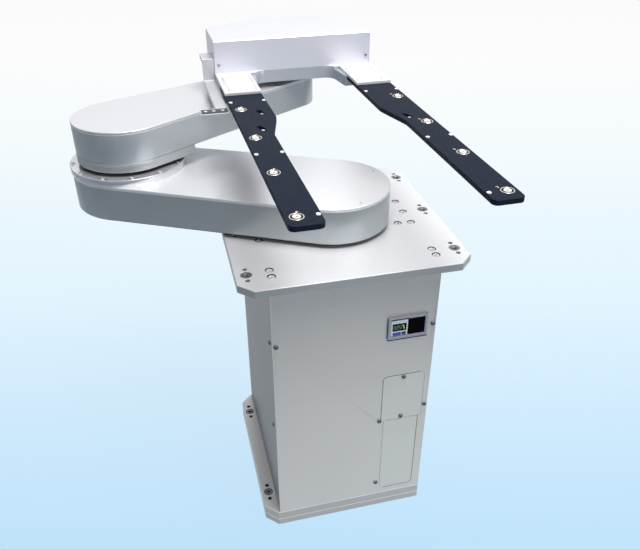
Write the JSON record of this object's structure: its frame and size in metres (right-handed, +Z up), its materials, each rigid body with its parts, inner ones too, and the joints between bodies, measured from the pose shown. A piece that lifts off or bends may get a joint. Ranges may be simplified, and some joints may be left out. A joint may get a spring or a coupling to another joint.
{
  "type": "wafer transfer robot",
  "caption": "Lift column with a top plate under a folded two-link swivel arm that carries a low hand housing and a long two-finger vacuum fork.",
  "frame": {"origin": "on the swivel axis at the floor, in the plane of the base plate's underside", "axes": "+Z up along the swivel axis; the fork points towards -Y, +X to the robot's right as seen from the front"},
  "size_m": [0.6625, 0.8335, 0.872],
  "materials": {
    "milled_aluminium": "brushed",
    "satin_cover": "satin",
    "link_shell": "bead blasted",
    "black_fingers": "satin black carbon composite",
    "steel_screws": "dark",
    "bearing_steel": "ground",
    "motor_black": "matte",
    "gauge_frame": "moulded",
    "gauge_window": "glossy",
    "button_dark": "moulded",
    "fitting_brass": "turned",
    "pad_cream": "soft",
    "stud_white": "moulded",
    "belt_rubber": "toothed"
  },
  "bodies": {
    "column": {"base_plate": "milled_aluminium", "base_flange": "milled_aluminium", "left_wall": "satin_cover", "right_wall": "satin_cover", "rear_wall": "satin_cover", "front_cover": "satin_cover", "upper_access_panel": "satin_cover", "lower_access_panel": "satin_cover", "panel_backing": "satin_cover", "cover_screws": "steel_screws", "gauge_bezel": "gauge_frame", "pressure_gauge": "gauge_frame", "gauge_display": "gauge_window", "gauge_blank": "gauge_window", "connector_panel": "satin_cover", "signal_connectors": "motor_black", "air_fittings": "fitting_brass", "top_plate": "milled_aluminium", "level_bushes": "steel_screws", "plate_screws": "steel_screws", "dust_seal": "milled_aluminium", "linear_rails": "bearing_steel", "lift_motor": "motor_black"},
    "button_left": {"gauge_button_left": "button_dark"},
    "button_right": {"gauge_button_right": "button_dark"},
    "screw": {"ball_screw": "bearing_steel"},
    "lift": {"lift_carriage": "milled_aluminium", "guide_blocks": "bearing_steel", "ball_nut": "bearing_steel", "lift_tube": "milled_aluminium", "arm_drives": "milled_aluminium", "shaft_bearings": "bearing_steel"},
    "swivel": {"swivel_shaft": "milled_aluminium"},
    "lower_link": {"arm_shaft": "milled_aluminium", "link_bearings": "bearing_steel", "lower_link_housing": "link_shell", "lower_link_cover": "link_shell", "lower_link_screws": "steel_screws", "elbow_ring": "milled_aluminium", "elbow_post": "milled_aluminium", "lower_belt": "belt_rubber"},
    "upper_link": {"elbow_shaft": "milled_aluminium", "belly_cover": "milled_aluminium", "upper_link_housing": "link_shell", "upper_link_cover": "link_shell", "upper_belt": "belt_rubber", "upper_link_bearings": "bearing_steel"},
    "hand": {"wrist_shaft": "milled_aluminium", "hand_base_plate": "milled_aluminium", "hand_housing": "satin_cover", "finger_clamps": "milled_aluminium", "left_finger": "black_fingers", "right_finger": "black_fingers", "pad_rings": "fitting_brass", "vacuum_pads": "pad_cream", "rest_studs": "stud_white", "hand_screws": "steel_screws", "side_bracket": "milled_aluminium", "foot_insert": "motor_black"}
  },
  "joints": [
    {"name": "lift", "type": "slide", "parent": "column", "child": "lift", "axis": [0, 0, 1], "range_m": [0, 0.3]},
    {"name": "screw_spin", "type": "hinge", "parent": "column", "child": "screw", "pos_m": [0, 0.134, 0.1], "axis": [0, 0, 1], "range_deg": [0, 5401]},
    {"name": "swivel", "type": "hinge", "parent": "lift", "child": "swivel", "pos_m": [0, 0, 0.5], "axis": [0, 0, 1], "range_deg": [-165, 165]},
    {"name": "extend", "type": "hinge", "parent": "swivel", "child": "lower_link", "pos_m": [0, 0, 0.609], "axis": [0, 0, 1], "range_deg": [-12, 112]},
    {"name": "elbow", "type": "hinge", "parent": "lower_link", "child": "upper_link", "pos_m": [-0.35304, 0.17717, 0.697], "axis": [0, 0, 1], "range_deg": [-224.5, 24.5]},
    {"name": "wrist", "type": "hinge", "parent": "upper_link", "child": "hand", "pos_m": [-0.00706, 0.36777, 0.785], "axis": [0, 0, 1], "range_deg": [-12.5, 112.5]},
    {"name": "button_left_press", "type": "slide", "parent": "column", "child": "button_left", "axis": [0, 1, 0], "range_m": [0, 0.001], "stiffness_N_per_m": 500},
    {"name": "button_right_press", "type": "slide", "parent": "column", "child": "button_right", "axis": [0, 1, 0], "range_m": [0, 0.001], "stiffness_N_per_m": 500}
  ],
  "couplings": [
    {"joint": "screw_spin", "follows": "lift", "rad_per_m": 314.16},
    {"joint": "elbow", "follows": "extend", "ratio": -2},
    {"joint": "wrist", "follows": "extend", "ratio": 1}
  ]
}
